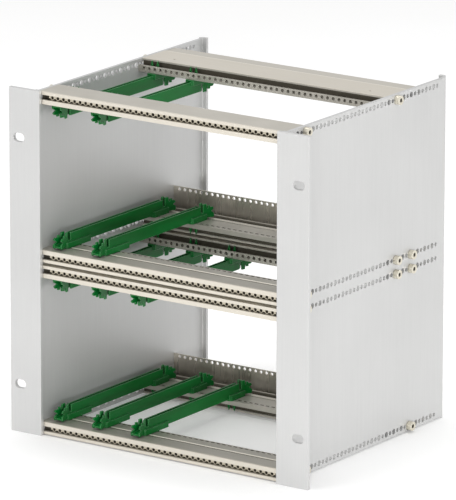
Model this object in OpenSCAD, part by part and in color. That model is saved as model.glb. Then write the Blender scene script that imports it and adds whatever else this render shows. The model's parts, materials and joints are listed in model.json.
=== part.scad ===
// Card cage (subrack) for two stacked 3U bays, half the width of a 19 inch rack: two flanged side panels,
// eight extruded cross rails, threaded strips, perforated strips and snap-in card guides.
// The origin is under the middle of the cage, Z up, with the rack flanges facing -Y.

/* [Width] */
// Width unit that boards and front panels are spaced by
hp = 5.08; // [5:0.02:5.2]
// Usable width of the cage in width units
hp_count = 42; // [28:1:63]
// Gap between the usable width and the inner face of a side panel
side_gap = 3.32; // [2.5:0.01:5]
// Width of the rack ear that stands out past the web of a side panel
ear_w = 22.12; // [19:0.01:30]
// Clearance between the usable width and the inner edge of a flange
opening_clear = 0.12; // [0.05:0.01:1]

/* [Height] */
// Height of the flanges
flange_h = 265.9; // [264:0.1:280]
// Distance between the two threaded rows of one bay
row_pitch = 122.5; // [118:0.1:123.5]
// Distance from one bay to the next
bay_pitch = 133.35; // [132.5:0.05:134.5]
// Distance that the web stays below the top edge and above the bottom edge of the flange
web_setback = 0.8; // [0.2:0.1:0.8]
// Length of web behind the flange that keeps the flange's full height
web_root = 1.5; // [0.5:0.1:3]

/* [Side panels] */
// Depth of the cage from the front face of the flanges
depth = 217; // [200:1:260]
// Thickness of the web of a side panel
web_t = 2.5; // [2:0.1:4]
// Thickness of the rack flange
flange_t = 3; // [2.5:0.1:3.4]
// Width of the rear fold, over the web
fold_w = 6.3; // [5:0.1:12]
// Radius inside the rear fold
fold_r = 1; // [0.4:0.1:2]
// Width of a mounting slot in the flange
slot_w = 6.8; // [5:0.1:8]
// Length of a mounting slot in the flange, along the flange's width
slot_l = 10.3; // [9:0.1:12]
// Distance from the outer edge of the flange to the middle of a mounting slot
slot_edge = 8.75; // [7:0.05:10]
// Distance between the upper and the lower mounting slots
slot_pitch = 190.5; // [150:0.1:230]
// Distance from the flange's front face to the first hole of a row
first_hole = 7.9; // [7:0.1:9]
// Spacing of the holes in a row
hole_step = 5; // [4.8:0.1:6]
// Clear length behind the last hole of a row
row_end = 14; // [10:0.5:30]
// Diameter of the screw holes, every second hole of a row
screw_hole_d = 4.3; // [4.1:0.1:4.5]
// Diameter of the pin holes between the screw holes
pin_hole_d = 3.2; // [1.5:0.1:3.4]
// Diameter of the key hole beside the front screw of each row
key_hole_d = 1.4; // [1:0.1:1.6]
// Distance from the front screw back to the key hole
key_hole_y = 7.8; // [7.6:0.1:8]
// Distance from a row down to its key hole
key_hole_drop = 2.9; // [2.8:0.1:3]

/* [Rails] */
// Wall thickness of the rails
rail_t = 1.5; // [1:0.1:1.8]
// Distance from a row to the face of the rail that the card guides sit on
seat = 5.25; // [5:0.05:5.6]
// Distance from a row to the outer face of the rail
rail_back = 4.2; // [3.6:0.1:4.6]
// Number of the row hole that holds a front rail
front_screw = 4; // [4:2:6]
// Distance from a front rail's front face to its screw channel
front_nose = 24.4; // [23:0.1:24.8]
// Number of the row hole that holds the front of a rear rail
rear_screw = 28; // [24:2:30]
// Number of row holes between the two screw channels of a rear rail
channel_holes = 4; // [4:2:6]
// Outer radius of a screw channel
channel_r = 3.9; // [3:0.1:3.9]
// Diameter of the bore of a screw channel
channel_d = 4; // [3.4:0.1:4.2]
// Depth of the lips in front of a threaded strip
lip_depth = 2.5; // [1.5:0.1:3]
// Height of the mouth between the lips
mouth_h = 3.8; // [3:0.1:4.4]
// Length of a guide slot, across the rail
guide_slot_l = 3.3; // [3:0.1:3.8]
// Width of a guide slot, along the depth
guide_slot_w = 1.6; // [1.4:0.1:2]
// Distance from the middle of a guide slot to the free edge of the rail
guide_slot_edge = 2.2; // [1.6:0.1:2.6]
// Distance from a front rail's screw channel back to its guide slots
front_slot_gap = 5.4; // [5.3:0.1:6]
// Distance from a rear rail's front face to its first screw channel
rear_nose = 17.4; // [16.5:0.1:19]
// Distance from a rear rail's front face to its guide slots
rear_slot_y = 4; // [3.4:0.1:4.4]
// Distance from a rear rail's guide slots back to its wall
rear_wall_gap = 2.5; // [2.2:0.1:4]
// Distance that a rear rail's outer plate stands in front of its wall
rear_ledge = 1; // [0:0.1:1.2]
// Distance from a rear rail's first screw channel to the rear edge of its seat
rear_seat_end = 7.1; // [6:0.1:10]
// Distance from a rear rail's second screw channel to its rear edge
rear_heel = 10.6; // [9:0.1:14]
// Height of a rear rail's rear wall above the row
rear_wall_top = 2; // [0:0.1:3]
// Thickness of the lip behind a perforated strip
lip_t = 1.3; // [1:0.1:2]
// Height of the lip behind a perforated strip, over the plate
lip_h = 1.5; // [0.8:0.1:2.5]
// Distance from a front rail's front face to the groove in its seat
groove_y = 13.8; // [10:0.1:14]
// Width of the groove in a seat
seat_groove_w = 1.2; // [0.8:0.1:1.6]
// Depth of the groove in a seat
seat_groove_h = 0.8; // [0.4:0.1:0.9]
// Drop of a front rail's plate behind its groove
seat_drop = 0.4; // [0.2:0.1:0.6]
// Distance from the groove to the bead behind it
bead_y = 4.7; // [3:0.1:6]
// Width of a bead
bead_w = 1.5; // [1:0.1:2]
// Distance from a rear rail's first screw channel to the groove in its seat
rear_groove_y = 1.1; // [0.8:0.1:3]
// Distance from a rear rail's second screw channel forward to the step of its outer plate
step_back = 2.2; // [1.5:0.1:4]
// Height of the step in a rear rail's outer plate
step_h = 0.4; // [0.2:0.1:0.6]
// Diameter of the air holes in the front web of a rear rail
web_hole_d = 2.6; // [1.6:0.1:2.8]
// Distance from the row to the air holes, towards the seat
web_hole_z = 2.2; // [2:0.1:2.3]
// Height of the front web of a rear rail that has no air holes
short_web = 3.5; // [2:0.1:4]
// Diameter of the two small holes in a rear rail's outer plate
mark_d = 2; // [1:0.1:3]
// Distance of the two small holes from a rear rail's first screw channel, forward
mark_y = 2.4; // [1:0.1:4]

/* [Strips] */
// Diameter of the thread for front panel screws
thread_d = 2.5; // [2:0.1:3]
// Distance from the edge of the usable width to the first thread, in width units
thread_edge_hp = 1.5; // [1:0.5:2.5]
// Height of a threaded strip
strip_h = 5.2; // [4.8:0.1:5.6]
// Thickness of the back layer of a threaded strip
strip_back_t = 1.5; // [1:0.1:2]
// Thickness of the raised front layer of a threaded strip
strip_front_t = 1.3; // [0.8:0.1:1.6]
// Distance from the last thread to the end of a threaded strip
strip_end = 3.04; // [2.5:0.02:4]
// Radius of the raised eyes around the threads
eye_r = 1.75; // [1.6:0.05:1.9]
// Sliding clearance round a strip in its rail
strip_clear = 0.1; // [0.05:0.01:0.2]
// Distance from the row down to the lower edge of the raised front layer
bar_drop = 0.6; // [0.2:0.1:1.2]
// Thickness of a perforated strip
perf_t = 1.2; // [0.8:0.1:1.5]
// Height of a perforated strip above the row
perf_top = 18.5; // [14:0.1:24]
// Diameter of the holes in a perforated strip
perf_hole_d = 2.5; // [1.5:0.1:3]
// Distance from the top edge of a perforated strip to its holes
perf_hole_edge = 1.9; // [1.8:0.1:4]
// Gap between a perforated strip's end and the side panel
perf_gap = 0.4; // [0.1:0.1:2]

/* [Card guides] */
// Spacing of the guides in width units
guide_pitch_hp = 7; // [3:1:8]
// Distance from a thread to the middle of the groove of a guide beside it
guide_offset = 1.66; // [1:0.01:2.4]
// Height of the boards that the guides hold
board_h = 100; // [99:0.1:101]
// Clearance between the edge of a board and the floor of the groove
board_clear = 0.3; // [0.1:0.1:0.6]
// Width of the board groove
groove_w = 2; // [1.7:0.1:2.4]
// Depth of the board groove
groove_depth = 5.3; // [5:0.1:6]
// Wall thickness of a guide
guide_wall = 1.1; // [0.8:0.1:1.4]
// Length of a guide in front of its front prongs
guide_nose = 24.8; // [23:0.1:28]
// Length of a guide behind its rear prongs
guide_tail = 21.5; // [21:0.1:22.5]
// Width of the feet of a guide
foot_w = 7.4; // [7:0.1:9]
// Height of the feet of a guide
foot_h = 4.4; // [3.5:0.1:5]
// Height of the lower edge of a guide above its seat, between the feet
guide_lift = 1.5; // [0.8:0.1:2]
// Length of the funnel at each end of a guide
crown_l = 11.5; // [10:0.1:13]
// Length of the cut between a funnel and the walls of the groove
crown_gap = 3; // [1.5:0.1:4]
// Height of the tallest tooth of a funnel
crown_h = 12.2; // [11.2:0.1:13]
// Distance that the funnel widens on each side
crown_flare = 2; // [1:0.1:2.5]
// Distance from the end of a guide to its foot
foot_start = 7.6; // [6:0.1:9]
// Length of a front foot
front_foot_l = 31.4; // [28:0.1:40]
// Length of a rear foot
rear_foot_l = 20; // [18:0.1:30]
// Width of the barb of a prong
barb_w = 3.5; // [3.2:0.1:4]
// Clearance of a prong in its slot
prong_clear = 0.15; // [0.1:0.01:0.25]
// Length of a prong below the seat
prong_l = 9; // [6:0.1:9.2]

/* [Screws] */
// Diameter of a screw head
head_d = 7; // [6.5:0.1:8]
// Height of a screw head
head_h = 4; // [3:0.1:5]
// Width across the corners of the hexagon socket
socket_d = 3.46; // [2.8:0.02:4]
// Depth of the hexagon socket
socket_depth = 2; // [1:0.1:2.5]
// Length of a screw under its head
screw_l = 12; // [8:1:20]
// Clearance of a screw in its screw channel
screw_clear = 0.05; // [0.02:0.01:0.1]

/* [Hidden] */
$fn = 40;

// Lengths that follow from the sizes above
usable_w = hp * hp_count;
inner_w = usable_w + 2 * side_gap;
web_x = inner_w / 2;
panel_x = web_x + web_t;
overall_w = 2 * (panel_x + ear_w);
flange_lip = side_gap - opening_clear;
bend_r = fold_r + web_t;
front_y = -depth / 2;
over = 1;

// Heights of the four rows, from the bottom one to the top one
rows = [for (bay = [-0.5, 0.5]) for (side = [-0.5, 0.5]) flange_h / 2 + bay * bay_pitch + side * row_pitch];

// Places along the depth
row_holes = floor((depth - row_end - first_hole) / hole_step);
function hole_y(number) = first_hole + number * hole_step;
front_rail_y = hole_y(front_screw) - front_nose;
front_slot_y = hole_y(front_screw) + front_slot_gap;
front_rail_depth = front_slot_y + guide_slot_edge - front_rail_y;
rear_rail_y = hole_y(rear_screw) - rear_nose;
rear_second_y = rear_nose + channel_holes * hole_step;
rear_rail_depth = rear_second_y + rear_heel;
rear_wall_y = rear_slot_y + rear_wall_gap;

// Threads, slots and holes across the width
first_thread_x = -usable_w / 2 + thread_edge_hp * hp;
thread_count = hp_count - 2 * thread_edge_hp + 1;
function groove_x(number) = first_thread_x + guide_offset + number * hp;
function slot_x(number) = groove_x(number - 1) - hp / 2;
mark_numbers = [2, hp_count - 5];

// Threaded strip in its slot
cavity_h = strip_h + 2 * strip_clear;
cavity_depth = strip_front_t + strip_back_t + strip_clear;
strip_y = front_rail_y + lip_depth;

// Perforated strip in its groove
perf_groove = perf_t + 2 * strip_clear;
perf_groove_y = rear_rail_depth - lip_t - perf_groove;
perf_foot = rail_back - rail_t;

// Card guide, measured from its front end and from its seat
guide_l = guide_nose + rear_rail_y + rear_slot_y - front_slot_y + guide_tail;
groove_floor = (row_pitch - 2 * seat - board_h) / 2 - board_clear;
guide_h = groove_floor + groove_depth;
guide_half = groove_w / 2 + guide_wall;
prong_w = guide_slot_l - 4 * prong_clear;
prong_t = guide_slot_w - 2 * prong_clear;
barb_z = seat_drop + rail_t + prong_clear;

// Screws of the rear rails in each row: 0 is the front screw channel and 1 the rear one
rear_screws = [[1], [0, 1], [0, 1], [0]];

panel_colour = "gainsboro";
rail_colour = "antiquewhite";
strip_colour = "darkgray";
guide_colour = "darkgreen";
screw_colour = "ivory";

// ---- Shared shapes ----

// Extrudes an outline drawn in depth and height along the width, centred
module across(length) {
    translate([-length / 2, 0, 0])
        rotate([90, 0, 90])
            linear_extrude(length)
                children();
}

// Extrudes an outline drawn in depth and height over a width, centred, and an outline in width and height over a depth
module along(length) {
    translate([0, length, 0])
        rotate([90, 0, 0])
            linear_extrude(length)
                children();
}

// Cylinder along the width
module pin_x(d, length) {
    rotate([0, 90, 0])
        cylinder(d = d, h = length);
}

// Cylinder along the depth
module pin_y(d, length) {
    rotate([-90, 0, 0])
        cylinder(d = d, h = length);
}

// Rectangle from one corner to the other
module box2(from, to) {
    translate(from)
        square(to - from);
}

// Puts a rail at its row, upright for boards above it or turned over for boards below it
module at_row(y, row, turned) {
    translate([0, front_y + y, rows[row]])
        mirror([0, 0, turned ? 1 : 0])
            children();
}

// ---- Side panels ----

// Plan of a side panel: flange, web and rear fold with its bend
module side_plan() {
    difference() {
        union() {
            box2([web_x - flange_lip, 0], [panel_x + ear_w, flange_t]);
            box2([web_x, 0], [panel_x, depth]);
            box2([panel_x - fold_w, depth - web_t], [panel_x, depth]);
            box2([web_x - fold_r, depth - bend_r], [web_x, depth - web_t]);
        }
        translate([web_x - fold_r, depth - bend_r])
            circle(fold_r);
        difference() {
            box2([panel_x - bend_r, depth - bend_r], [panel_x + over, depth + over]);
            translate([panel_x - bend_r, depth - bend_r])
                circle(bend_r);
        }
    }
}

// Mounting slot through the flange
module flange_slot() {
    along(flange_t + 2 * over)
        union() {
            square([slot_l - slot_w, slot_w], center = true);
            for (side = [-1, 1])
                translate([side * (slot_l - slot_w) / 2, 0])
                    circle(d = slot_w);
        }
}

// Row of screw holes and pin holes through the web
module web_row() {
    for (number = [0 : row_holes])
        translate([0, hole_y(number), 0])
            pin_x(number % 2 == 0 ? screw_hole_d : pin_hole_d, web_t + 2 * over);
    translate([0, hole_y(front_screw) + key_hole_y, -key_hole_drop])
        pin_x(key_hole_d, web_t + 2 * over);
}

module side_panel() {
    color(panel_colour)
        translate([0, front_y, 0])
            difference() {
                linear_extrude(flange_h)
                    side_plan();
                for (z = [-over, flange_h - web_setback])
                    translate([web_x - over, flange_t + web_root, z])
                        cube([web_t + 2 * over, depth - bend_r - flange_t - web_root, web_setback + over]);
                for (side = [-1, 1])
                    translate([panel_x + ear_w - slot_edge, -over, flange_h / 2 + side * slot_pitch / 2])
                        flange_slot();
                for (z = rows)
                    translate([web_x - over, 0, z])
                        web_row();
            }
}

module side_panel_right() {
    side_panel();
}

module side_panel_left() {
    mirror([1, 0, 0])
        side_panel();
}

// ---- Front rails ----

// Section of a front rail: lips, slot for the threaded strip, outer plate, seat with groove and bead, screw channel
module front_rail_section() {
    block_end = lip_depth + cavity_depth + rail_t;
    groove_end = groove_y + seat_groove_w;
    difference() {
        union() {
            box2([0, -rail_back], [block_end, seat]);
            box2([0, -rail_back], [front_nose + rail_t, rail_t - rail_back]);
            box2([0, seat - rail_t], [groove_end, seat]);
            box2([groove_y, seat - seat_drop - rail_t], [front_rail_depth, seat - seat_drop]);
            box2([groove_end + bead_y - bead_w, seat - seat_drop - rail_t], [groove_end + bead_y, seat - bead_w / 2]);
            translate([groove_end + bead_y - bead_w / 2, seat - bead_w / 2])
                circle(d = bead_w);
            translate([front_nose, 0])
                circle(channel_r);
        }
        box2([lip_depth, -cavity_h / 2], [lip_depth + cavity_depth, cavity_h / 2]);
        box2([-over, -mouth_h / 2], [lip_depth + over, mouth_h / 2]);
        box2([groove_y, seat - seat_groove_h], [groove_end, seat + over]);
        translate([front_nose, 0])
            circle(d = channel_d);
    }
}

// Slots for the prongs of the card guides, one for each width unit
module guide_slots(y) {
    for (number = [0 : hp_count - 1])
        translate([slot_x(number) - guide_slot_l / 2, y - guide_slot_w / 2, channel_r / 2])
            cube([guide_slot_l, guide_slot_w, seat]);
}

module front_rail(row, turned) {
    color(rail_colour)
        at_row(front_rail_y, row, turned)
            difference() {
                across(inner_w)
                    front_rail_section();
                guide_slots(front_slot_y - front_rail_y);
            }
}

module front_rail_top() {
    front_rail(3, true);
}

module front_rail_mid_upper() {
    front_rail(2, false);
}

module front_rail_mid_lower() {
    front_rail(1, true);
}

module front_rail_bottom() {
    front_rail(0, false);
}

// ---- Rear rails ----

// Section of a rear rail: front web, seat with groove, wall, stepped outer plate, two screw channels, strip groove
module rear_rail_section(web_h) {
    step_y = rear_second_y - step_back;
    groove_at = rear_nose + rear_groove_y;
    difference() {
        union() {
            box2([0, seat - web_h], [rail_t, seat]);
            box2([0, seat - rail_t], [rear_nose + rear_seat_end, seat]);
            box2([rear_wall_y, -rail_back], [rear_wall_y + rail_t, seat]);
            box2([rear_wall_y - rear_ledge, -rail_back], [rear_rail_depth, rail_t - rail_back]);
            box2([perf_groove_y - rail_t, -rail_back + step_h], [perf_groove_y, rear_wall_top]);
            box2([rear_rail_depth - lip_t, -rail_back + step_h], [rear_rail_depth, rail_t - rail_back + lip_h]);
            for (y = [rear_nose, rear_second_y])
                translate([y, 0])
                    circle(channel_r);
        }
        polygon([
            [step_y - step_h, -rail_back - over],
            [step_y - step_h, -rail_back],
            [step_y, -rail_back + step_h],
            [rear_rail_depth + over, -rail_back + step_h],
            [rear_rail_depth + over, -rail_back - over]
        ]);
        box2([groove_at, seat - seat_groove_h / 2], [groove_at + seat_groove_w, seat + over]);
        for (y = [rear_nose, rear_second_y])
            translate([y, 0])
                circle(d = channel_d);
    }
}

// The web of a rail that hangs over the boards is taller and has air holes
module rear_rail(row, turned) {
    color(rail_colour)
        at_row(rear_rail_y, row, turned)
            difference() {
                across(inner_w)
                    rear_rail_section(turned ? seat : short_web);
                guide_slots(rear_slot_y);
                if (turned)
                    for (number = [0 : hp_count - 1])
                        translate([slot_x(number), -over, web_hole_z])
                            pin_y(web_hole_d, rail_t + 2 * over);
                for (number = mark_numbers)
                    translate([groove_x(number), rear_nose - mark_y, -rail_back - over])
                        cylinder(d = mark_d, h = over + rail_t);
            }
}

module rear_rail_top() {
    rear_rail(3, true);
}

module rear_rail_mid_upper() {
    rear_rail(2, false);
}

module rear_rail_mid_lower() {
    rear_rail(1, true);
}

module rear_rail_bottom() {
    rear_rail(0, false);
}

// ---- Strips ----

// Threaded strip: a flat back layer and a raised front layer with an eye round each thread
module thread_strip(row) {
    length = 2 * (strip_end - first_thread_x);
    color(strip_colour)
        translate([0, front_y + strip_y, rows[row]])
            difference() {
                union() {
                    translate([-length / 2, strip_front_t, -strip_h / 2])
                        cube([length, strip_back_t, strip_h]);
                    translate([-length / 2, 0, -bar_drop])
                        cube([length, strip_front_t + strip_clear, strip_h / 2 + bar_drop]);
                    for (number = [0 : thread_count - 1])
                        translate([first_thread_x + number * hp, 0, 0])
                            pin_y(2 * eye_r, strip_front_t + strip_clear);
                }
                for (number = [0 : thread_count - 1])
                    translate([first_thread_x + number * hp, -over, 0])
                        pin_y(thread_d, strip_front_t + strip_back_t + 2 * over);
            }
}

module thread_strip_top() {
    thread_strip(3);
}

module thread_strip_mid_upper() {
    thread_strip(2);
}

module thread_strip_mid_lower() {
    thread_strip(1);
}

module thread_strip_bottom() {
    thread_strip(0);
}

// Perforated strip that stands in the rear groove of a rail
module hole_strip(row) {
    length = inner_w - 2 * perf_gap;
    color(strip_colour)
        translate([0, front_y + rear_rail_y + perf_groove_y + strip_clear, rows[row]])
            difference() {
                translate([-length / 2, 0, -perf_foot])
                    cube([length, perf_t, perf_foot + perf_top]);
                for (number = [0 : hp_count - 1])
                    translate([(number - (hp_count - 1) / 2) * hp, -over, perf_top - perf_hole_edge])
                        pin_y(perf_hole_d, perf_t + 2 * over);
            }
}

module hole_strip_upper() {
    hole_strip(2);
}

module hole_strip_lower() {
    hole_strip(0);
}

// ---- Card guides ----

// Section of a guide between its funnels: two walls with the board groove above and a hollow below
module guide_section() {
    difference() {
        box2([-guide_half, guide_lift], [guide_half, guide_h]);
        box2([-groove_w / 2, groove_floor], [groove_w / 2, guide_h + over]);
        box2([-groove_w / 2, guide_lift - over], [groove_w / 2, groove_floor - guide_wall]);
    }
}

// Side view of a funnel, as shares of its length and of its tallest tooth: the split mouth, then three teeth
crown_outline = [
    [1, 0.12], [0.05, 0.06], [0, 0.18], [0.04, 0.34], [0.27, 0.46], [0.03, 0.6], [0.14, 0.73], [0.37, 0.73],
    [0.37, 0.86], [0.54, 0.86], [0.54, 0.7], [0.65, 0.7], [0.7, 1], [0.95, 1], [1, 0.5]
];

// Plan of one wall of a funnel, which turns outward towards the end of the guide
module crown_wall() {
    polygon([
        [groove_w / 2, crown_l],
        [groove_w / 2 + crown_flare, 0],
        [guide_half + crown_flare, 0],
        [guide_half, crown_l]
    ]);
}

// Funnel at the front end of a guide
module crown() {
    intersection() {
        linear_extrude(crown_h + over)
            union() {
                crown_wall();
                mirror([1, 0])
                    crown_wall();
            }
        across(2 * (guide_half + crown_flare + over))
            polygon([for (point = crown_outline) [point[0] * crown_l, point[1] * crown_h]]);
    }
    // ramp that leads a board up into the groove
    intersection() {
        linear_extrude(crown_h)
            polygon([
                [-guide_half, crown_l],
                [-groove_w / 2 - crown_flare - guide_wall / 2, 0],
                [groove_w / 2 + crown_flare + guide_wall / 2, 0],
                [guide_half, crown_l]
            ]);
        across(2 * (guide_half + crown_flare + over))
            polygon([
                [guide_wall / 2, guide_lift],
                [guide_wall / 2, guide_lift + guide_wall],
                [crown_l, groove_floor],
                [crown_l, groove_floor - guide_wall]
            ]);
    }
}

// Foot with chamfered ends, hollow from below on both sides of the prongs
module foot(from, to, prong_y) {
    chamfer = guide_wall;
    difference() {
        linear_extrude(foot_h)
            polygon([
                [-guide_half, from], [guide_half, from],
                [foot_w / 2, from + chamfer], [foot_w / 2, to - chamfer],
                [guide_half, to], [-guide_half, to],
                [-foot_w / 2, to - chamfer], [-foot_w / 2, from + chamfer]
            ]);
        for (part = [[from + 2 * chamfer, prong_y - 2 * guide_wall], [prong_y + 2 * guide_wall, to - 2 * chamfer]])
            translate([guide_wall - foot_w / 2, part[0], -over])
                cube([foot_w - 2 * guide_wall, part[1] - part[0], foot_h - guide_wall + over]);
    }
}

// Snap prong: a straight neck in the slot, a barb under the rail and a point
module prong() {
    translate([0, -prong_t / 2, 0])
        along(prong_t)
            polygon([
                [-prong_w / 2, guide_wall], [-prong_w / 2, -barb_z],
                [-barb_w / 2, -barb_z - prong_clear], [0, -prong_l],
                [barb_w / 2, -barb_z - prong_clear], [prong_w / 2, -barb_z],
                [prong_w / 2, guide_wall]
            ]);
}

// Whole guide from its front end, standing on its seat
module card_guide() {
    wall_start = crown_l + crown_gap;
    rear_prong_y = guide_l - guide_tail;
    difference() {
        translate([0, crown_l, 0])
            along(guide_l - 2 * crown_l)
                guide_section();
        for (y = [crown_l, guide_l - wall_start])
            translate([-foot_w / 2, y, groove_floor])
                cube([foot_w, crown_gap, guide_h]);
    }
    crown();
    translate([0, guide_l, 0])
        mirror([0, 1, 0])
            crown();
    foot(foot_start, foot_start + front_foot_l, guide_nose);
    foot(guide_l - foot_start - rear_foot_l, guide_l - foot_start, rear_prong_y);
    for (y = [guide_nose, rear_prong_y])
        for (side = [-1, 1])
            translate([side * hp / 2, y, 0])
                prong();
}

// Puts a guide on the seats of a row, by its place across the width
module guide_at(row, turned, place) {
    color(guide_colour)
        translate([groove_x(place * guide_pitch_hp), 0, 0])
            at_row(front_slot_y - guide_nose, row, turned)
                translate([0, 0, seat])
                    card_guide();
}

module guide_upper_top_1() {
    guide_at(3, true, 0);
}

module guide_upper_top_2() {
    guide_at(3, true, 1);
}

module guide_upper_bottom_1() {
    guide_at(2, false, 0);
}

module guide_upper_bottom_2() {
    guide_at(2, false, 1);
}

module guide_lower_top_1() {
    guide_at(1, true, 0);
}

module guide_lower_top_2() {
    guide_at(1, true, 1);
}

module guide_lower_top_3() {
    guide_at(1, true, 2);
}

module guide_lower_bottom_1() {
    guide_at(0, false, 0);
}

module guide_lower_bottom_2() {
    guide_at(0, false, 1);
}

module guide_lower_bottom_3() {
    guide_at(0, false, 2);
}

// ---- Screws ----

// Socket head screw that points inward from the outer face of the right side panel
module screw() {
    difference() {
        union() {
            pin_x(head_d, head_h);
            translate([-screw_l, 0, 0])
                pin_x(channel_d - 2 * screw_clear, screw_l + over);
        }
        translate([head_h - socket_depth, 0, 0])
            rotate([0, 90, 0])
                cylinder(d = socket_d, h = socket_depth + over, $fn = 6);
    }
}

module screws() {
    color(screw_colour)
        translate([panel_x, front_y, 0])
            for (row = [0 : 3]) {
                translate([0, hole_y(front_screw), rows[row]])
                    screw();
                for (channel = rear_screws[row])
                    translate([0, hole_y(rear_screw + channel * channel_holes), rows[row]])
                        screw();
            }
}

module screws_right() {
    screws();
}

module screws_left() {
    mirror([1, 0, 0])
        screws();
}

side_panel_left();
side_panel_right();
front_rail_top();
front_rail_mid_upper();
front_rail_mid_lower();
front_rail_bottom();
rear_rail_top();
rear_rail_mid_upper();
rear_rail_mid_lower();
rear_rail_bottom();
thread_strip_top();
thread_strip_mid_upper();
thread_strip_mid_lower();
thread_strip_bottom();
hole_strip_upper();
hole_strip_lower();
guide_upper_top_1();
guide_upper_top_2();
guide_upper_bottom_1();
guide_upper_bottom_2();
guide_lower_top_1();
guide_lower_top_2();
guide_lower_top_3();
guide_lower_bottom_1();
guide_lower_bottom_2();
guide_lower_bottom_3();
screws_left();
screws_right();
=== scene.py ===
"""Looks of an open card cage (subrack): materials, floor, studio light and camera."""

import json
import math

import bpy
from mathutils import Matrix, Vector


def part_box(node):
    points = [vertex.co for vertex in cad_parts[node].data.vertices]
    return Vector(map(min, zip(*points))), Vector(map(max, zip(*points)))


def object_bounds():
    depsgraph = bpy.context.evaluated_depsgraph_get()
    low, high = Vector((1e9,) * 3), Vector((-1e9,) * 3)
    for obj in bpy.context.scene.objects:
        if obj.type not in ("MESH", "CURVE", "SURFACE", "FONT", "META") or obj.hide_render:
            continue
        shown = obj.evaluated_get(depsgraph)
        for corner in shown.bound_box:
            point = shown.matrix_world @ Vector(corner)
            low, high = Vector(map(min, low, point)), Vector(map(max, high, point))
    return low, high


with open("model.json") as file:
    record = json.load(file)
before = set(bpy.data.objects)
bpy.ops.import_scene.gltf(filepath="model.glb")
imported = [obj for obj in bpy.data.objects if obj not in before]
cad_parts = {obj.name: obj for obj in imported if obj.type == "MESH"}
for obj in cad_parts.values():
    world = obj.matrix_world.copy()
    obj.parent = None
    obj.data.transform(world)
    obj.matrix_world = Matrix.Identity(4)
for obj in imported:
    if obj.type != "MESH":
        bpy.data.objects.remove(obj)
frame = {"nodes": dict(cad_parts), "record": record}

CAD_BOX = [list(corner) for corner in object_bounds()]
NODES = frame["nodes"]
SLOT_OF_NODE = {part["node"]: part["material_slot"] for part in frame["record"]["subparts"]}
MM = 0.001
NOISE_LOW, NOISE_HIGH = 0.3, 0.7


def shade(red, green, blue):
    return (red, green, blue, 1.0)


# ---- Node helpers ----


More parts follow.
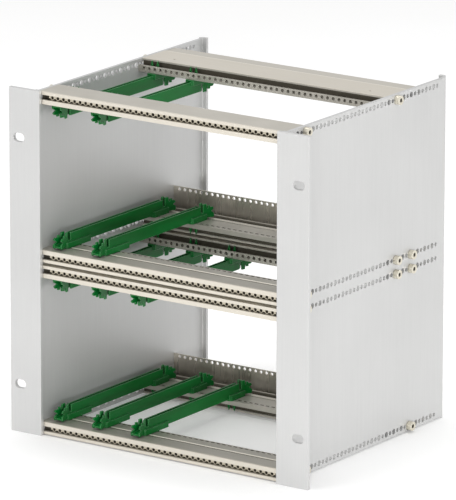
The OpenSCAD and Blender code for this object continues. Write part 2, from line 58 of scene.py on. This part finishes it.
class Maker:
    """Builds one procedural material around a Principled shader."""

    def __init__(self, name):
        self.material = bpy.data.materials.new(name)
        self.material.use_nodes = True
        self.tree = self.material.node_tree
        self.shader = self.tree.nodes["Principled BSDF"]
        self.coords = self.tree.nodes.new("ShaderNodeTexCoord").outputs["Object"]

    def node(self, kind, **settings):
        made = self.tree.nodes.new("ShaderNode" + kind)
        for key, value in settings.items():
            if key[0].isupper():
                made.inputs[key.replace("_", " ")].default_value = value
            else:
                setattr(made, key, value)
        return made

    def link(self, output, target):
        self.tree.links.new(output, target)

    def set(self, **values):
        """Sets values that are the same all over, on the shader's own sockets."""
        for key, value in values.items():
            self.shader.inputs[key.replace("_", " ")].default_value = value

    def stretched(self, scale):
        """Object coordinates in metres, scaled along each axis."""
        mapping = self.node("Mapping", Scale=scale)
        self.link(self.coords, mapping.inputs["Vector"])
        return mapping.outputs["Vector"]

    def noise(self, detail, stretch):
        """Noise with that many cells a metre along each axis."""
        texture = self.node("TexNoise", Scale=1.0, Detail=detail, Roughness=0.55)
        self.link(self.stretched(stretch), texture.inputs["Vector"])
        return texture.outputs["Fac"]

    def remap(self, value, low, high, to_low, to_high):
        made = self.node("MapRange", From_Min=low, From_Max=high, To_Min=to_low, To_Max=to_high)
        self.link(value, made.inputs["Value"])
        return made.outputs["Result"]

    def spread(self, noise, to_low=0.0, to_high=1.0):
        """A noise with its usual range stretched to another one."""
        return self.remap(noise, NOISE_LOW, NOISE_HIGH, to_low, to_high)

    def math(self, operation, first, second):
        made = self.node("Math", operation=operation)
        for value, socket in ((first, made.inputs[0]), (second, made.inputs[1])):
            if isinstance(value, (int, float)):
                socket.default_value = value
            else:
                self.link(value, socket)
        return made.outputs[0]

    def mix(self, factor, first, second):
        made = self.node("Mix", data_type="RGBA")
        for value, socket in ((factor, made.inputs[0]), (first, made.inputs[6]), (second, made.inputs[7])):
            if isinstance(value, (int, float, tuple)):
                socket.default_value = value
            else:
                self.link(value, socket)
        return made.outputs[2]

    def edge(self, radius):
        """1 on edges rounded at that radius, 0 on flat faces, with the rounded normal."""
        rounded = self.node("Bevel", samples=6, Radius=radius)
        flat = self.node("NewGeometry")
        dot = self.node("VectorMath", operation="DOT_PRODUCT")
        self.link(rounded.outputs["Normal"], dot.inputs[0])
        self.link(flat.outputs["Normal"], dot.inputs[1])
        return self.remap(dot.outputs["Value"], 0.98, 0.75, 0.0, 1.0), rounded.outputs["Normal"]

    def crevice(self, distance):
        """0 deep in a crevice and 1 in the open."""
        occlusion = self.node("AmbientOcclusion", samples=8, Distance=distance)
        return occlusion.outputs["AO"]

    def inside(self, depths, heights):
        """1 where a point's y and z both lie in their ranges, 0 elsewhere."""
        parts = self.node("SeparateXYZ")
        self.link(self.coords, parts.inputs[0])
        result = 1.0
        for axis, (bottom, top) in (("Y", depths), ("Z", heights)):
            above = self.math("GREATER_THAN", parts.outputs[axis], bottom)
            below = self.math("LESS_THAN", parts.outputs[axis], top)
            result = self.math("MULTIPLY", result, self.math("MULTIPLY", above, below))
        return result

    def banded(self, base, bands):
        """A colour with bands over it, each a range of depths, one of heights, a colour and an amount."""
        for depths, heights, colour, amount in bands:
            base = self.mix(self.math("MULTIPLY", self.inside(depths, heights), amount), base, colour)
        return base

    def bump(self, height, strength, distance, normal):
        """Fine relief over a surface's own, or rounded, normal."""
        made = self.node("Bump", Strength=strength, Distance=distance)
        self.link(height, made.inputs["Height"])
        self.link(normal, made.inputs["Normal"])
        self.link(made.outputs["Normal"], self.shader.inputs["Normal"])

    def colour(self, output):
        self.link(output, self.shader.inputs["Base Color"])

    def roughness(self, output):
        self.link(output, self.shader.inputs["Roughness"])


# ---- Colours ----

WHITE = shade(1, 1, 1)
PANEL_DARK, PANEL_LIGHT = shade(0.575, 0.575, 0.57), shade(0.62, 0.62, 0.615)
# The pale panel edge colour is a painted highlight.
PANEL_GRAIN, PANEL_EDGE_HIGHLIGHT = shade(0.4, 0.4, 0.4), shade(0.82, 0.82, 0.81)
RAIL_DARK, RAIL_LIGHT = shade(0.4, 0.38, 0.335), shade(0.5, 0.475, 0.425)
# The pale rail edge colour is a painted highlight.
RAIL_LINES, RAIL_EDGE_HIGHLIGHT = shade(0.42, 0.39, 0.33), shade(0.88, 0.85, 0.77)
# The front and bright rail colours are painted light on lit faces and painted highlights in bands; the rail
# shadow colour is painted shade.
RAIL_LIT_FACE, RAIL_HIGHLIGHT = shade(0.74, 0.69, 0.6), shade(0.86, 0.82, 0.73)
RAIL_SHADOW, RAIL_STEP = shade(0.055, 0.045, 0.028), shade(0.45, 0.44, 0.41)
# Each strip's third colour serves for real grain and for painted crevice shade.
THREAD_STRIP = (shade(0.34, 0.31, 0.25), shade(0.46, 0.42, 0.34), shade(0.1, 0.085, 0.06))
# The threaded strip's pale face and dark back are a painted highlight and painted shade.
THREAD_LIT_FACE, THREAD_SHADED_BACK = shade(0.62, 0.57, 0.46), shade(0.09, 0.075, 0.05)
HOLE_STRIP = (shade(0.62, 0.575, 0.5), shade(0.7, 0.65, 0.57), shade(0.45, 0.42, 0.35))
# The strip edge colour is a painted highlight.
STRIP_EDGE_HIGHLIGHT = shade(0.8, 0.78, 0.72)
GUIDE_DARK, GUIDE_LIGHT = shade(0.0, 0.1, 0.012), shade(0.002, 0.155, 0.025)
# The guide edge colour is a painted highlight and the guide shadow colour painted shade.
GUIDE_EDGE_HIGHLIGHT, GUIDE_SHADOW = shade(0.25, 0.55, 0.3), shade(0.0, 0.02, 0.002)
SCREW_DARK, SCREW_LIGHT = shade(0.6, 0.56, 0.46), shade(0.76, 0.72, 0.61)
# The screw edge colour is a painted highlight and the screw shadow colour painted shade.
SCREW_EDGE_HIGHLIGHT, SCREW_SHADOW = shade(0.93, 0.9, 0.82), shade(0.04, 0.035, 0.028)
FLOOR_DARK, FLOOR_LIGHT = shade(0.93, 0.93, 0.925), shade(0.95, 0.95, 0.95)


# ---- Materials ----


def panel_metal():
    """Aluminium sheet, clear chromated: a faint upright grain, soft clouds, cut edges lightened as a painted
    highlight.
    """
    make = Maker("panel_metal")
    make.set(Metallic=0.45, Specular_IOR_Level=0.4)
    grain = make.noise(3.0, (700, 700, 18))
    clouds = make.noise(4.0, (9, 9, 9))
    edge, normal = make.edge(0.35 * MM)
    base = make.mix(make.spread(clouds), PANEL_DARK, PANEL_LIGHT)
    base = make.mix(make.remap(grain, 0.35, NOISE_HIGH, 0.0, 0.08), base, PANEL_GRAIN)
    # Painted highlight: rounded edges lightened towards the pale edge colour.
    make.colour(make.mix(make.math("MULTIPLY", edge, 0.5), base, PANEL_EDGE_HIGHLIGHT))
    make.roughness(make.spread(clouds, 0.42, 0.5))
    make.bump(grain, 0.05, 0.03 * MM, normal)
    return make.material


def rail_metal(name, bands):
    """Extruded aluminium with a warm tint: die lines along the rail, painted highlights on edges and in bands,
    and painted shade in bands and crevices.
    """
    make = Maker(name + "_metal")
    make.set(Metallic=0.55, Specular_IOR_Level=0.5)
    lines = make.noise(4.0, (5, 1500, 1500))
    clouds = make.noise(3.0, (25, 25, 25))
    edge, normal = make.edge(0.25 * MM)
    open_air = make.crevice(2.5 * MM)
    base = make.mix(make.spread(clouds), RAIL_DARK, RAIL_LIGHT)
    base = make.mix(make.remap(lines, 0.35, NOISE_HIGH, 0.0, 0.22), base, RAIL_LINES)
    # Painted highlight: rounded edges lightened towards the pale edge colour.
    base = make.mix(make.math("MULTIPLY", edge, 0.7), base, RAIL_EDGE_HIGHLIGHT)
    base = make.banded(base, bands)
    # Painted shade: crevices darkened towards the rail shadow colour.
    make.colour(make.mix(make.remap(open_air, 0.05, 0.45, 0.0, 1.0), RAIL_SHADOW, base))
    make.roughness(make.spread(lines, 0.36, 0.5))
    make.bump(lines, 0.15, 0.04 * MM, normal)
    return make.material


def strip_metal(name, colours, rough, stretch, bands=()):
    """Plated steel strip, from a darker, a lighter and a third colour for real grain and painted crevice shade:
    grain, a painted edge highlight and a soft shine.
    """
    dark, light, grain_and_shade = colours
    make = Maker(name)
    make.set(Metallic=0.7, Specular_IOR_Level=0.5)
    grain = make.noise(4.0, stretch)
    clouds = make.noise(3.0, (60, 60, 60))
    edge, normal = make.edge(0.15 * MM)
    open_air = make.crevice(2 * MM)
    base = make.mix(make.spread(clouds), dark, light)
    base = make.mix(make.remap(grain, 0.4, 0.75, 0.0, 0.3), base, grain_and_shade)
    # Painted highlight: rounded edges lightened towards the pale edge colour.
    base = make.mix(make.math("MULTIPLY", edge, 0.5), base, STRIP_EDGE_HIGHLIGHT)
    base = make.banded(base, bands)
    # Painted shade: crevices darkened towards the third colour.
    make.colour(make.mix(make.remap(open_air, 0.05, 0.45, 0.0, 1.0), grain_and_shade, base))
    make.roughness(make.spread(grain, rough, rough + 0.12))
    make.bump(grain, 0.1, 0.03 * MM, normal)
    return make.material


def guide_plastic():
    """Moulded green plastic: faint flow marks, slight gloss, paler edges as a painted highlight and painted
    shade in crevices.
    """
    make = Maker("guide_plastic")
    make.set(Metallic=0.0, Specular_IOR_Level=0.18)
    flow = make.noise(4.0, (120, 14, 120))
    fine = make.noise(2.0, (1400, 1400, 1400))
    edge, normal = make.edge(0.45 * MM)
    open_air = make.crevice(5 * MM)
    base = make.mix(make.spread(flow), GUIDE_DARK, GUIDE_LIGHT)
    # Painted highlight: rounded edges lightened towards the pale edge colour.
    base = make.mix(make.math("MULTIPLY", edge, 0.8), base, GUIDE_EDGE_HIGHLIGHT)
    # Painted shade: crevices darkened towards the guide shadow colour.
    make.colour(make.mix(make.remap(open_air, 0.1, 0.7, 0.0, 1.0), GUIDE_SHADOW, base))
    make.roughness(make.spread(flow, 0.34, 0.46))
    make.bump(fine, 0.1, 0.04 * MM, normal)
    return make.material


def screw_metal():
    """Turned and nickel plated steel with a cream tint, painted edge highlights and a socket darkened by
    painted shade.
    """
    make = Maker("screw_metal")
    make.set(Metallic=0.6, Specular_IOR_Level=0.5)
    turned = make.noise(3.0, (3000, 500, 500))
    edge, normal = make.edge(0.25 * MM)
    open_air = make.crevice(3 * MM)
    base = make.mix(make.spread(turned), SCREW_DARK, SCREW_LIGHT)
    # Painted highlight: rounded edges lightened towards the pale edge colour.
    base = make.mix(make.math("MULTIPLY", edge, 0.6), base, SCREW_EDGE_HIGHLIGHT)
    # Painted shade: the socket and crevices darkened towards the screw shadow colour.
    make.colour(make.mix(make.remap(open_air, 0.25, 0.75, 0.0, 1.0), SCREW_SHADOW, base))
    make.roughness(make.spread(turned, 0.28, 0.4))
    make.bump(turned, 0.15, 0.04 * MM, normal)
    return make.material


def floor_paint():
    """Plain pale floor with a faint mottle."""
    make = Maker("floor_paint")
    make.set(Metallic=0.0, Specular_IOR_Level=0.1, Emission_Color=WHITE, Emission_Strength=0.12)
    mottle = make.noise(2.0, (3, 3, 3))
    make.colour(make.mix(make.spread(mottle), FLOOR_DARK, FLOOR_LIGHT))
    make.roughness(make.spread(mottle, 0.8, 0.9))
    return make.material


# ---- Painted shade and highlight bands along the rails and strips ----

# Depths are measured from a rail's front face, heights inward from its seat or its outer face
RAIL_WALL = 1.55 * MM
GROOVE_WALLS = (0.05 * MM, 0.9 * MM)
FRONT_LIP = 2.0 * MM
FRONT_HOLLOW = 2.6 * MM
FRONT_GROOVE = (13.8 * MM, 15.0 * MM)
FRONT_BEAD_SHADE = (16.6 * MM, 18.1 * MM)
FRONT_BEAD = (18.1 * MM, 20.6 * MM)
FRONT_SLOTS = (28.9 * MM, 30.7 * MM)
FRONT_SLOT_WALLS = (0.45 * MM, 1.8 * MM)
FRONT_SEAT = 0.8 * MM
FRONT_SEAT_DROP = 0.4 * MM
FRONT_OUTER = 0.1 * MM
REAR_WEB = 1.6 * MM
REAR_SLOTS = (3.1 * MM, 4.9 * MM)
REAR_GROOVE = (18.5 * MM, 19.7 * MM)
REAR_RIDGE = (20.5 * MM, 24.6 * MM)
REAR_STEP = (34.4 * MM, 36.6 * MM)
REAR_SEAT = 0.3 * MM
REAR_OUTER = 0.5 * MM
THREAD_LAYER = 0.6 * MM
BEYOND = MM


class Section:
    """Depths and heights of a rail's section, upright or turned over."""

    def __init__(self, node, seat_up):
        self.low, self.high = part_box(node)
        self.seat_up = seat_up
        self.all_depths = (self.low.y - BEYOND, self.high.y + BEYOND)

    def depths(self, depths):
        return self.low.y + depths[0], self.low.y + depths[1]

    def under_seat(self, near, far):
        """Heights between two distances inward from the face that the guides sit on."""
        if self.seat_up:
            return self.high.z - far, self.high.z - near
        return self.low.z + near, self.low.z + far

    def under_outer(self, near, far):
        """Heights between two distances inward from the opposite face."""
        if self.seat_up:
            return self.low.z + near, self.low.z + far
        return self.high.z - far, self.high.z - near


def front_rail_bands(node, seat_up):
    """Painted shade in the hollow, the groove, a band before the bead and the guide slots; painted highlights
    on the bead, the outer plate and the front lips of a front rail.
    """
    rail = Section(node, seat_up)
    low, high = rail.low, rail.high
    hollow = (low.z + RAIL_WALL, high.z - RAIL_WALL - FRONT_SEAT_DROP)
    seat = rail.under_seat(-BEYOND, FRONT_SEAT)
    outer = rail.under_outer(-BEYOND, FRONT_OUTER)
    # The mid rails' outer faces, across the gap of the mid pair, get a strong painted highlight; the other
    # rails a faint one.
    outer_highlight = 0.9 if "mid" in node else 0.2
    return [
        # Painted shade in the hollow, groove, bead band and slots; painted highlights on the bead, outer plate
        # and front lip.
        ((low.y + FRONT_HOLLOW, high.y), hollow, RAIL_SHADOW, 0.85),
        (rail.depths(FRONT_GROOVE), rail.under_seat(*GROOVE_WALLS), RAIL_SHADOW, 0.9),
        (rail.depths(FRONT_BEAD_SHADE), seat, RAIL_SHADOW, 0.8),
        (rail.depths(FRONT_BEAD), seat, RAIL_HIGHLIGHT, 0.95),
        (rail.depths(FRONT_SLOTS), rail.under_seat(*FRONT_SLOT_WALLS), RAIL_SHADOW, 0.95),
        (rail.all_depths, outer, RAIL_HIGHLIGHT, outer_highlight),
        ((low.y - BEYOND, low.y + FRONT_LIP), (low.z - BEYOND, high.z + BEYOND), RAIL_LIT_FACE, 0.8),
    ]


def rear_rail_bands(node, seat_up):
    """Painted shade in the hollow, groove and guide slots; painted highlights on the ridge, the outer plate and
    its step, with a greyer tone behind the step, on a rear rail.
    """
    rail = Section(node, seat_up)
    low, high = rail.low, rail.high
    hollow = (low.z + RAIL_WALL, high.z - RAIL_WALL)
    walls = rail.under_seat(*GROOVE_WALLS)
    plate = rail.under_outer(-BEYOND, REAR_OUTER)
    # Painted shade in the hollow, groove and slots; painted highlights on the ridge, the plate and its step.
    return [
        ((low.y + REAR_WEB, high.y + BEYOND), hollow, RAIL_SHADOW, 0.9),
        (rail.depths(REAR_GROOVE), walls, RAIL_SHADOW, 0.9),
        (rail.depths(REAR_SLOTS), walls, RAIL_SHADOW, 0.95),
        (rail.depths(REAR_RIDGE), rail.under_seat(-BEYOND, REAR_SEAT), RAIL_HIGHLIGHT, 0.5),
        (rail.all_depths, plate, RAIL_LIT_FACE, 0.7),
        (rail.depths(REAR_STEP), plate, RAIL_HIGHLIGHT, 0.9),
        ((low.y + REAR_STEP[1], high.y + BEYOND), plate, RAIL_STEP, 0.4),
    ]


def thread_strip_bands(node):
    """Painted highlight on the raised face and painted shade on the back layer of a threaded strip."""
    low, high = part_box(node)
    heights = (low.z - BEYOND, high.z + BEYOND)
    return [
        ((low.y - BEYOND, low.y + THREAD_LAYER), heights, THREAD_LIT_FACE, 0.85),
        ((low.y + THREAD_LAYER, high.y + BEYOND), heights, THREAD_SHADED_BACK, 0.9),
    ]


# ---- Dressing ----

SHARED = {
    "panel": panel_metal(),
    "hole_strip": strip_metal("hole_strip_metal", HOLE_STRIP, 0.24, (300, 300, 8)),
    "guide": guide_plastic(),
    "screw": screw_metal(),
}


def material_of(node):
    """The shared material of a node's slot, or its own where bands follow its box."""
    seat_up = "mid_upper" in node or "bottom" in node
    if node.startswith("front_rail"):
        return rail_metal(node, front_rail_bands(node, seat_up))
    if node.startswith("rear_rail"):
        return rail_metal(node, rear_rail_bands(node, seat_up))
    if node.startswith("thread_strip"):
        return strip_metal(node + "_metal", THREAD_STRIP, 0.36, (60, 60, 900), thread_strip_bands(node))
    return SHARED[SLOT_OF_NODE[node]]


def dress_cad_nodes():
    """Gives every carried-over CAD node its material."""
    for name, piece in NODES.items():
        material = material_of(name)
        if not piece.material_slots:
            piece.data.materials.append(material)
        for slot in piece.material_slots:
            slot.material = material


# ---- Studio ----

CAMERA_AZIMUTH = math.radians(34.85)
CAMERA_ELEVATION = math.radians(14.93)
CAMERA_ROLL = math.radians(0.08)
CAMERA_DISTANCE = 4.7223
CAMERA_LENS = 453.6
CAMERA_TARGET = Vector((0.0, 0.0015, 0.133))
CAMERA_SLIDE = (-0.01057, 0.00377)
SENSOR_WIDTH = 36.0
VIEW_DEPTH = 100.0
LIGHT_AIM = Vector((0.0, 0.0, 0.13))
LIGHTS = [
    ("front", (-0.9, -2.2, 1.3), (1.8, 1.4), 10),
    ("side", (2.4, -0.3, 1.0), (1.6, 1.4), 14),
    ("top", (-0.2, 0.2, 2.2), (1.6, 1.6), 22),
    ("low", (1.6, -2.2, 0.25), (1.4, 0.5), 30),
]
FLOOR_SIZE = 30
BACKDROP_STRENGTH = 1.0
SURROUND_STRENGTH = 0.6


def studio_camera():
    """Long lens from the front right, a little above the cage."""
    azimuth, elevation = CAMERA_AZIMUTH, CAMERA_ELEVATION
    back = Vector(
        (math.sin(azimuth) * math.cos(elevation), -math.cos(azimuth) * math.cos(elevation), math.sin(elevation))
    )
    level = Vector((math.cos(azimuth), math.sin(azimuth), 0.0))
    upright = back.cross(level)
    right = math.cos(CAMERA_ROLL) * level + math.sin(CAMERA_ROLL) * upright
    up = math.cos(CAMERA_ROLL) * upright - math.sin(CAMERA_ROLL) * level
    place = CAMERA_TARGET + CAMERA_SLIDE[0] * right + CAMERA_SLIDE[1] * up + CAMERA_DISTANCE * back
    data = bpy.data.cameras.new("camera")
    data.lens = CAMERA_LENS
    data.sensor_width = SENSOR_WIDTH
    data.clip_end = VIEW_DEPTH
    camera = bpy.data.objects.new("camera", data)
    camera.matrix_world = Matrix.Translation(place) @ Matrix((right, up, back)).transposed().to_4x4()
    bpy.context.scene.collection.objects.link(camera)
    bpy.context.scene.camera = camera


def area_light(name, place, size, power):
    """Soft rectangular light turned towards the middle of the cage."""
    data = bpy.data.lights.new(name, "AREA")
    data.shape = "RECTANGLE"
    data.size, data.size_y = size
    data.energy = power
    light = bpy.data.objects.new(name, data)
    light.location = place
    light.rotation_euler = (LIGHT_AIM - Vector(place)).to_track_quat("-Z", "Y").to_euler()
    bpy.context.scene.collection.objects.link(light)


def background(nodes, strength):
    made = nodes.new("ShaderNodeBackground")
    made.inputs["Color"].default_value = WHITE
    made.inputs["Strength"].default_value = strength
    return made


def studio_world():
    """White backdrop that lights the cage as an even, dimmer surround."""
    world = bpy.data.worlds.new("studio")
    world.use_nodes = True
    nodes, links = world.node_tree.nodes, world.node_tree.links
    path = nodes.new("ShaderNodeLightPath")
    blend = nodes.new("ShaderNodeMixShader")
    links.new(path.outputs["Is Camera Ray"], blend.inputs[0])
    links.new(background(nodes, SURROUND_STRENGTH).outputs[0], blend.inputs[1])
    links.new(background(nodes, BACKDROP_STRENGTH).outputs[0], blend.inputs[2])
    links.new(blend.outputs[0], nodes["World Output"].inputs["Surface"])
    bpy.context.scene.world = world


def studio():
    """Floor, surround and soft lights."""
    bpy.ops.mesh.primitive_plane_add(size=FLOOR_SIZE, location=(0, 0, CAD_BOX[0][2]))
    floor = bpy.context.object
    floor.name = "floor"
    floor.data.materials.append(floor_paint())
    studio_world()
    for light in LIGHTS:
        area_light(*light)
    bpy.context.scene.view_settings.view_transform = "Standard"
    bpy.context.scene.view_settings.look = "None"


dress_cad_nodes()
studio_camera()
studio()
